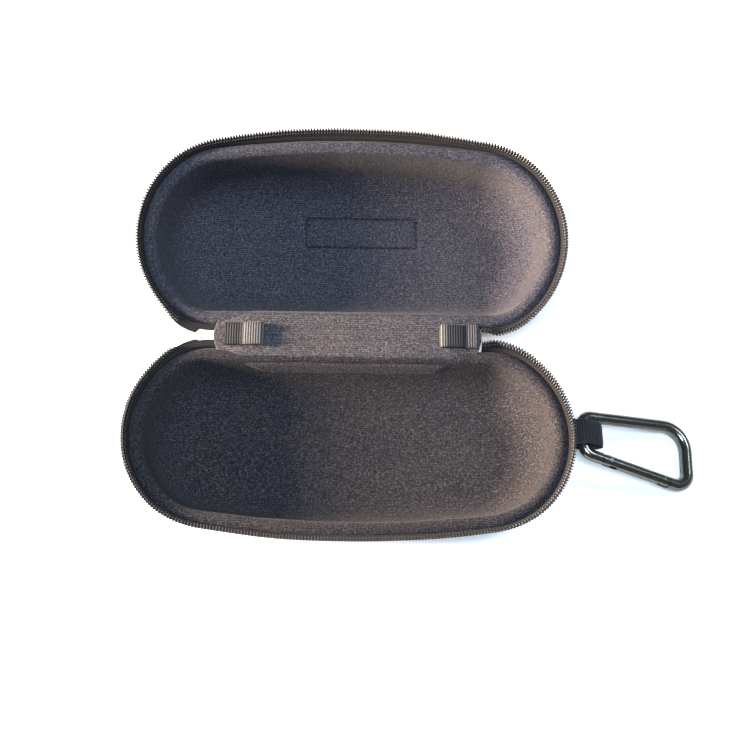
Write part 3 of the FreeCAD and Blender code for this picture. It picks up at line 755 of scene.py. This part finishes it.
def zip_point(run, distance, lift, seed):
    """Point on the free zip: distance out along the tape, lift towards the inside of the case."""
    distance = distance + zip_slack(run) * np.clip(distance / FLARE_LENGTH, 0, 1)
    lean = zip_lean(run, seed)
    bend_u = wall_u(-TAPE_OUTSIDE, TAPE_BEND_Z) + 0.12 * wander(run, 19.0, seed + 3)
    u = bend_u + np.sin(lean) * distance - np.cos(lean) * lift
    z = TAPE_BEND_Z + np.cos(lean) * distance + np.sin(lean) * lift
    point, normal = plan_at(run)
    return np.concatenate([point + normal * u[..., None], z[..., None]], -1)


def make_zip_tape(name, place, body, replaced, material, seed):
    run = zip_runs(0.6)
    trimmed = np.linspace(run[-1], PLAN_LENGTH - run_at_x(TAPE_LEFT_X), 16)[1:]
    run = np.concatenate([run, trimmed])
    foot = -TAPE_DROP
    heights = np.linspace(foot, -0.7, 8)
    distances = np.linspace(0.2, FLARE_LENGTH + 1.25, 9)
    wall = on_plan(run, wall_u(-TAPE_OUTSIDE, heights), heights)
    from_cut = from_zip_ends(run)[1]
    tail = 1 + TAPE_TAIL[body] * (1 - ease(from_cut, 6, 14))
    tail = TAPE_TRIM + (tail - TAPE_TRIM) * ease(from_cut, -1.0, 0.1)
    free = np.stack([zip_point(run, d * tail, -0.22, seed) for d in distances], 1)
    points = np.concatenate([wall, free], 1)
    across = np.concatenate([heights - foot, distances - foot])
    uv = np.stack(np.broadcast_arrays(run[:, None], across[None]), -1)
    faces = grid_faces(len(run), points.shape[1])
    piece = mesh_object(name, place(points), faces, uv)
    thicken(piece, TAPE_THICKNESS, 0)
    return finish_piece(piece, material, body, replaced)


def coil_runs(step):
    """The coil stops short of the tape's cut end."""
    run = zip_runs(step)
    return run[run < run[-1] - 7.0]


def make_zip_coil(name, place, body, replaced, material, seed):
    """A true helix of nylon, flattened across the tape."""
    per_turn = 14
    span = coil_runs(1.0)
    turns = int((span[-1] - span[0]) / COIL_PITCH) - 1
    phase = np.linspace(0, 2 * math.pi * turns, turns * per_turn)
    run = span[0] + COIL_PITCH * phase / (2 * math.pi)
    distance = FLARE_LENGTH + COIL_WIDTH / 2 + COIL_SWING * np.cos(phase)
    lift = 0.34 + 0.40 * np.sin(phase)
    path = zip_point(run, distance, lift, seed)
    points, faces = tube_along(path, COIL_WIRE)
    piece = mesh_object(name, place(points), faces)
    return finish_piece(piece, material, body, replaced)


def make_coil_core(name, place, body, material, seed):
    """Filler cord inside the coil."""
    run = coil_runs(0.8)
    path = zip_point(run, FLARE_LENGTH + COIL_WIDTH / 2, 0.3, seed)
    points, faces = tube_along(path, 0.3)
    piece = mesh_object(name, place(points), faces)
    return finish_piece(piece, material, body)


def make_coil_thread(name, place, body, material, seed):
    """Two rows of thread that cross over every tooth and hold the coil to the tape."""
    run = coil_runs(0.17)
    parts = []
    for distance in (0.72, 1.78):
        tooth = math.acos((distance - COIL_WIDTH / 2) / COIL_SWING) / (2 * math.pi)
        over = np.cos(2 * math.pi * ((run - run[0]) / COIL_PITCH - tooth))
        path = zip_point(run, FLARE_LENGTH + distance, 0.78 + 0.3 * over, seed)
        parts.append(tube_along(path, 0.15 + 0.05 * over, 5))
    points, faces = joined(parts)
    piece = mesh_object(name, place(points), faces)
    return finish_piece(piece, material, body)


def make_zip_seam(name, place, body, replaced, material):
    """Lockstitches that hold the tape to the outside of the wall."""
    point, normal = plan_at(zip_runs(SEAM_PITCH)[1:-1])
    parts = []
    for here, out in zip(point, normal):
        centre = np.array([*(here + out * wall_u(-0.62, SEAM_Z)), SEAM_Z])
        along = np.array([out[1], -out[0], 0.0])
        parts.append(stitch(centre, along, np.array([*out, 0.0]), 2.0, 0.2))
    points, faces = joined(parts)
    piece = mesh_object(name, place(points), faces)
    return finish_piece(piece, material, body, replaced)


# ---- spine --------------------------------------------------------------
SPINE_TAPER = 0.32           # how much shorter the spine cloth is where it dips into a bowl
SPINE_MIDDLE_X = sum(SPINE_ENDS) / 2


def spine_to_half(s, n):
    """A spine point (s across from this half, n towards the inside) in this half's own frame."""
    cos, sin = math.cos(HALF_TILT), math.sin(HALF_TILT)
    return s * cos - n * sin, s * sin + n * cos


def spine_strip(name, rows, place, sink, inside):
    """Cloth strip along the spine. rows are (y, z) from the wall to mid-spine, sink(points) moves it."""
    x = np.linspace(*SPINE_ENDS, 170)
    profile = smooth_path(rows, 44)
    points = np.zeros((len(x), len(profile), 3))
    points[..., 0] = x[:, None]
    points[..., 1] = profile[None, :, 0]
    points[..., 2] = profile[None, :, 1]
    points = points + sink(points)
    share = path_run(profile) / path_run(profile)[-1]
    points[..., 0] *= (1 - SPINE_TAPER * (1 - share) ** 1.8)[None]
    uv = np.stack(np.broadcast_arrays(points[..., 0], path_run(profile)[None] - 40.0), -1)
    faces = grid_faces(len(x), len(profile))
    if (place is on_lid) != inside:
        faces = [face[::-1] for face in faces]
    return mesh_object(name, place(points), faces, uv)


def inner_spine_rows():
    sunk = LINING_INNER - 1.0
    proud = LINING_INNER + 0.3
    wall = [(wall_u(sunk, -14.0), -14.0), (wall_u(LINING_INNER - 0.15, -10.5), -10.5),
            (wall_u(proud - 0.1, -6.8), -6.8), (wall_u(proud, -3.6), -3.6)]
    crown = [(-4.35, -0.9), (-3.0, 0.42), (-1.3, 0.9)]
    middle = [spine_to_half(*point) for point in ((0.9, 1.05), (2.1, 0.45), (3.1, 1.0), (4.6, 1.1))]
    return wall + crown + middle


def outer_spine_rows():
    wall = [(wall_u(-0.12, -7.5), -7.5), (wall_u(-0.35, -5.0), -5.0), (wall_u(-0.45, -2.6), -2.6)]
    middle = [spine_to_half(*point) for point in ((0.75, -1.35), (1.9, -0.95), (4.6, -0.75))]
    return wall + middle


def make_spine_cloth(name, rows, place, bodies, replaced, material, side, seed):
    """One half of the cloth over the spine; side is 1 for the lining and -1 for the outer cover."""
    def sink(points):
        move = np.zeros_like(points)
        end = ease(np.abs(points[..., 0] - SPINE_MIDDLE_X), 40.0, 50.5)
        wall = 1 - ease(points[..., 2], -5.0, -0.5)
        crown = (1 - ease(points[..., 1], -0.6, 1.4)) * (1 - wall)
        move[..., 1] = side * 0.9 * end * wall
        move[..., 2] = 0.07 * field(points, 7.0, seed) - 1.1 * end * crown * (side > 0)
        return move

    piece = spine_strip(name, rows, place, sink, side > 0)
    thicken(piece, SPINE_CLOTH, -1)
    finish_piece(piece, material, bodies, replaced)
    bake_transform(piece)
    return cloth(piece)


# ---- hinge tabs ---------------------------------------------------------
def ribbon(name, path, width, thickness, rib_pitch, rib_height, place):
    """Ribbed ribbon along a path of (a, b); its width runs along the third axis."""
    run = path_run(path)
    ahead = np.gradient(path, axis=0)
    ahead /= np.linalg.norm(ahead, axis=1)[:, None]
    out = np.stack([-ahead[:, 1], ahead[:, 0]], 1)
    rib = rib_height * np.abs(np.sin(math.pi * run / rib_pitch)) ** 0.7
    w = np.linspace(-1, 1, 15)
    swell = (1 - np.abs(w) ** 8 * 0.3)[None]
    height = (thickness / 2 * swell + (rib[:, None] * (1 - w ** 8)[None]))[..., None]
    upper = path[:, None] + out[:, None] * height
    lower = path[:, None] - out[:, None] * height
    across = np.broadcast_to(w * width / 2, upper.shape[:2])
    ring = np.concatenate([np.stack([upper[..., 0], across, upper[..., 1]], -1),
                           np.stack([lower[..., 0], across, lower[..., 1]], -1)[:, ::-1]], 1)
    columns = ring.shape[1]
    both_faces = np.concatenate([w, w[::-1] + 2.2])[None] * width / 2
    uv = np.stack(np.broadcast_arrays(run[:, None], both_faces), -1)
    faces = grid_faces(len(run), columns, close_columns=True) + end_caps(len(run), columns)
    return mesh_object(name, place(ring), [face[::-1] for face in faces], uv)


def tab_place(x_seam, side):
    """Tab frame: first axis from the seam towards the tab's loop, third axis up from the spine."""
    def place(points):
        moved = np.array(points, float)
        moved[..., 0] = x_seam + side * points[..., 0]
        moved[..., 1] = SPINE_WIDTH / 2 + points[..., 1]
        return on_spine(moved)

    return place


TAB_HEIGHT = 1.5             # of the tab's lower layer above the spine


def tab_path(flat, loop):
    """The ribbon from its lower end out to the loop and back over itself."""
    lower = TAB_HEIGHT
    points = [(-flat, lower), (-flat / 2, lower), (0, lower), (loop * 0.5, lower),
              (loop - 1.3, lower + 0.1), (loop - 0.35, lower + 0.75), (loop - 1.2, lower + 1.7),
              (loop * 0.5, lower + 1.75), (1.3, lower + 1.35), (0, lower + 0.78),
              (-flat * 0.5, lower + 0.85), (-flat + 0.1, lower + 0.8)]
    return smooth_path(points, 240)


def tab_stitches(place):
    """The seam across the tab, in six stitches."""
    up = on_spine(np.array([0.0, 0.0, 1.0])) - on_spine(np.zeros(3))
    parts = []
    for index in range(6):
        y = (index - 2.5) * 1.45
        centre = place(np.array([0.0, y, TAB_HEIGHT + 1.12]))
        along = place(np.array([0.0, y + 1.0, TAB_HEIGHT])) - place(np.array([0.0, y, TAB_HEIGHT]))
        parts.append(stitch(centre, along, up, 1.15, 0.19))
    return parts


def make_tab(name, x_seam, flat_length, loop_length, side, replaced, materials):
    """Grosgrain folded into a loop and sewn down by one seam; gives back the seam's stitches."""
    place = tab_place(x_seam, side)
    path = tab_path(flat_length, loop_length)
    piece = ribbon(name, path, TAB_WIDTH, TAB_THICKNESS, TAB_RIB, TAB_RIB_HEIGHT, place)
    if side > 0:
        piece.data.flip_normals()
    finish_piece(piece, materials[0], "spine", replaced)
    piece.data.materials.append(materials[1])
    # Painted sunlight: on the left tab the loop, and on the right tab the loop's far end and the flat
    # part, take the lighter copy of the grosgrain.
    for face in piece.data.polygons:
        from_seam = side * (face.center.x / MM - x_seam)
        face.material_index = int(from_seam > (0.6 if side > 0 else 7.0) or side < 0 and from_seam < -0.6)
    return tab_stitches(place)


def make_tab_stitches(parts, material):
    points, faces = joined(parts)
    piece = mesh_object("tab_seam_stitches", points, faces)
    return finish_piece(piece, material, "spine", ["hinge_tab_stitching"])


# ---- webbing loop -------------------------------------------------------
def make_webbing(material):
    """Webbing out of the end wall, round the carabiner and back."""
    upper = [(-12.0, 0.62), (-7.5, 0.66), (-5.2, 1.1), (-3.0, 2.5), (0.0, 3.5), (3.2, 2.75),
             (6.0, 1.75), (7.3, 0.0)]
    lower = [(a, -b) for a, b in upper[-2::-1]]
    path = smooth_path(upper + lower, 300)
    piece = ribbon("webbing_loop", path, STRAP_WIDTH, STRAP_THICKNESS, STRAP_RIB, STRAP_RIB_HEIGHT,
                   on_loop)
    return finish_piece(piece, material, "base", ["strap_loop"])


# ---- badge --------------------------------------------------------------
def stitched_sides(half_along, half_across, axis, height, up):
    """Running stitches along two opposite sides of the badge's rectangle."""
    count = int(2 * half_along / BADGE_STITCH)
    pitch = 2 * half_along / count
    along = np.zeros(3)
    along[axis] = 1.0
    along = on_lid(along) - on_lid(np.zeros(3))
    parts = []
    for index in range(count):
        for middle in (-half_across, half_across):
            centre = np.array([BADGE_X, BADGE_Y, height])
            centre[axis] += (index - (count - 1) / 2) * pitch
            centre[1 - axis] += middle
            parts.append(stitch(on_lid(centre), along, up, pitch * 0.86, BADGE_THREAD))
    return parts


def badge_stitches(material):
    """Running stitches that show on the badge and again on the lining inside the lid."""
    half_length = BADGE_LENGTH / 2 - BADGE_INSET
    half_width = BADGE_WIDTH / 2 - BADGE_INSET
    inwards = on_lid(np.array([0.0, 0.0, 1.0])) - on_lid(np.zeros(3))
    parts = []
    for height, up in ((-LID_DEPTH + LINING_INNER - 0.6 * GROOVE_DEPTH, inwards),
                       (-LID_DEPTH - BADGE_THICKNESS - 0.05, -inwards)):
        parts += stitched_sides(half_length, half_width, 0, height, up)
        parts += stitched_sides(half_width, half_length, 1, height, up)
    points, faces = joined(parts)
    piece = mesh_object("badge_thread", points, faces)
    return finish_piece(piece, material, "lid", ["badge_stitching"])


# ---- stage --------------------------------------------------------------
def make_floor():
    size = FLOOR_HALF_SIZE
    corners = [(-size, -size, 0), (size, -size, 0), (size, size, 0), (-size, size, 0)]
    mesh = bpy.data.meshes.new("floor")
    mesh.from_pydata(corners, [], [(0, 1, 2, 3)])
    floor = bpy.data.objects.new("floor", mesh)
    bpy.context.scene.collection.objects.link(floor)
    floor.location.z = -0.0002
    mesh.materials.append(floor_material())


def area_light(name, location, size, power, colour):
    """Round area light aimed at the middle of the case."""
    light = bpy.data.lights.new(name, "AREA")
    light.shape = "DISK"
    light.size = size
    light.energy = power
    light.color = colour
    lamp = bpy.data.objects.new(name, light)
    bpy.context.scene.collection.objects.link(lamp)
    lamp.location = location
    lamp.rotation_mode = "QUATERNION"
    lamp.rotation_quaternion = (LIGHT_TARGET - Vector(location)).to_track_quat("-Z", "Y")


def make_lights():
    area_light("key", (-0.95, 0.02, 0.26), 0.26, 112.0, (1.0, 0.79, 0.61))
    area_light("top", (0.0, -0.42, 1.3), 0.45, 27.0, (0.70, 0.84, 1.0))
    area_light("fill", (0.8, 0.25, 0.95), 0.35, 8.0, (0.72, 0.85, 1.0))
    make_world()
    bpy.context.scene.view_settings.view_transform = "Standard"


def make_world():
    """Dim even light from all round, with a pale backdrop where the floor ends."""
    world = bpy.data.worlds.new("studio")
    world.use_nodes = True
    tree = world.node_tree
    ambient = tree.nodes["Background"]
    ambient.inputs["Color"].default_value = (0.90, 0.94, 1.0, 1)
    path = tree.nodes.new("ShaderNodeLightPath")
    strength = tree.nodes.new("ShaderNodeMapRange")
    strength.inputs["To Min"].default_value = 0.10
    strength.inputs["To Max"].default_value = 0.92
    tree.links.new(path.outputs["Is Camera Ray"], strength.inputs["Value"])
    tree.links.new(strength.outputs["Result"], ambient.inputs["Strength"])
    bpy.context.scene.world = world


def make_camera():
    data = bpy.data.cameras.new("camera")
    data.lens = CAMERA_LENS
    data.sensor_width = 36.0
    data.clip_start = 0.01
    camera = bpy.data.objects.new("camera", data)
    bpy.context.scene.collection.objects.link(camera)
    back = Vector((math.sin(CAMERA_AZIMUTH) * math.cos(CAMERA_ELEVATION),
                   -math.cos(CAMERA_AZIMUTH) * math.cos(CAMERA_ELEVATION), math.sin(CAMERA_ELEVATION)))
    right = Vector((0, 0, 1)).cross(back).normalized()
    up = back.cross(right)
    rolled_right = right * math.cos(CAMERA_ROLL) + up * math.sin(CAMERA_ROLL)
    rolled_up = up * math.cos(CAMERA_ROLL) - right * math.sin(CAMERA_ROLL)
    place = Matrix((rolled_right, rolled_up, back)).transposed().to_4x4()
    place.translation = CAMERA_TARGET + back * CAMERA_DISTANCE
    camera.matrix_world = place
    bpy.context.scene.camera = camera


# ---- build --------------------------------------------------------------
def paint(nodes, material):
    """New material on CAD nodes whose shape stays."""
    for name in nodes:
        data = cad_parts[name].data
        data.materials.clear()
        data.materials.append(material)


# One knit copy per part, as painted light and shade: the base copy is darker as painted shade, the lid
# copy lighter and bluer and the spine copy lighter again as painted light.
KNIT_COLOURS_WITH_PAINTED_LIGHT = {             # dark, middle and light yarn
    "base": ((0.008, 0.008, 0.010), (0.026, 0.025, 0.029), (0.088, 0.080, 0.080)),
    "spine": ((0.018, 0.0175, 0.020), (0.060, 0.057, 0.062), (0.165, 0.153, 0.152)),
    "lid": ((0.013, 0.0135, 0.020), (0.045, 0.045, 0.057), (0.125, 0.119, 0.128))}


def build_half(body, depth, place, seed, cloths, zip_materials):
    """One bowl with its zip half, and this half of the spine's cloth."""
    knits, nylon_cloth = cloths
    tape, nylon, thread, coil_thread_painted_glint = zip_materials
    make_lining(body + "_lining_cloth", depth, place, body, [body + "_lining"], knits[body], seed)
    make_cover(body + "_cover_cloth", depth, place, body, [body + "_cover"], nylon_cloth, seed)
    make_zip_tape(body + "_tape_cloth", place, body, [body + "_zip_tape"], tape, seed)
    make_zip_coil(body + "_coil_helix", place, body, [body + "_zip_coil"], nylon, seed)
    make_coil_core(body + "_coil_cord", place, body, thread, seed)
    make_coil_thread(body + "_coil_thread_painted_glint", place, body, coil_thread_painted_glint, seed)
    make_zip_seam(body + "_tape_stitches", place, body, [body + "_zip_seam"], thread)
    bodies = ("base", "spine") if body == "base" else ("spine", "lid")
    make_spine_cloth(body + "_spine_knit", inner_spine_rows(), place, bodies, ["spine_lining"],
                     knits["spine"], 1, seed)
    make_spine_cloth(body + "_spine_cover", outer_spine_rows(), place, bodies, ["spine_cover"],
                     nylon_cloth, -1, seed)


def build():
    knits = {part: knit_material(part + "_knit", *colours) for part, colours in KNIT_COLOURS_WITH_PAINTED_LIGHT.items()}
    nylon_cloth = cover_material()
    tape = tape_material()
    nylon = coil_material()
    thread = thread_material("black_thread", (0.004, 0.004, 0.005), (0.022, 0.021, 0.023))
    # Painted highlight: the coil's thread is lighter than the black thread, so its two rows show as light
    # dots in place of glints on black stitches.
    coil_thread_painted_glint = thread_material("coil_thread_painted_glint", (0.012, 0.0115, 0.0115), (0.08, 0.074, 0.072))
    # The second grosgrain is a much lighter copy of the first, painted sunlight for the parts of the tabs
    # that catch the key light.
    ribbed = (grosgrain_material("tab_grosgrain", TAB_RIB, (0.012, 0.012, 0.016), (0.055, 0.053, 0.060)),
              grosgrain_material("tab_grosgrain_painted_sunlit", TAB_RIB, (0.04, 0.038, 0.04), (0.19, 0.18, 0.18)))
    webbing = grosgrain_material("strap_webbing", STRAP_RIB, (0.006, 0.006, 0.008), (0.030, 0.029, 0.032))
    foam = foam_material()
    zip_materials = (tape, nylon, thread, coil_thread_painted_glint)
    for body, depth, place, seed in (("base", BASE_DEPTH, on_base, 1.0), ("lid", LID_DEPTH, on_lid, 41.0)):
        build_half(body, depth, place, seed, (knits, nylon_cloth), zip_materials)
    stitches = make_tab("tab_loop_left", -42.0, 6.6, 8.6, 1, ["hinge_tab_left"], ribbed)
    stitches += make_tab("tab_loop_right", 44.0, 4.4, 9.6, -1, ["hinge_tab_right"], ribbed)
    make_tab_stitches(stitches, thread)
    make_webbing(webbing)
    badge_stitches(thread_material("seam_black", (0.002, 0.002, 0.003), (0.007, 0.007, 0.008)))
    paint(["base_shell", "lid_shell", "spine_stiffener"], foam)
    paint(["lid_badge"], rubber_material())
    paint(["carabiner_hook", "carabiner_gate"],
          metal_material("anodised_black", (0.10, 0.10, 0.085), (0.17, 0.165, 0.14), 0.2, 0.9))
    paint(["gate_hinge_pin", "gate_latch_pin", "gate_spring"],
          metal_material("pin_steel_dull", (0.10, 0.10, 0.11), (0.26, 0.25, 0.25), 0.35, 0.9))
    paint(["zip_slider", "slider_bail", "pull_tab", "zip_end_stop"],
          metal_material("slider_painted", (0.012, 0.012, 0.013), (0.04, 0.04, 0.042), 0.38, 0.4))
    paint(["zip_end_chain"], nylon)


make_camera()
make_floor()
make_lights()
build()
bpy.context.view_layer.update()
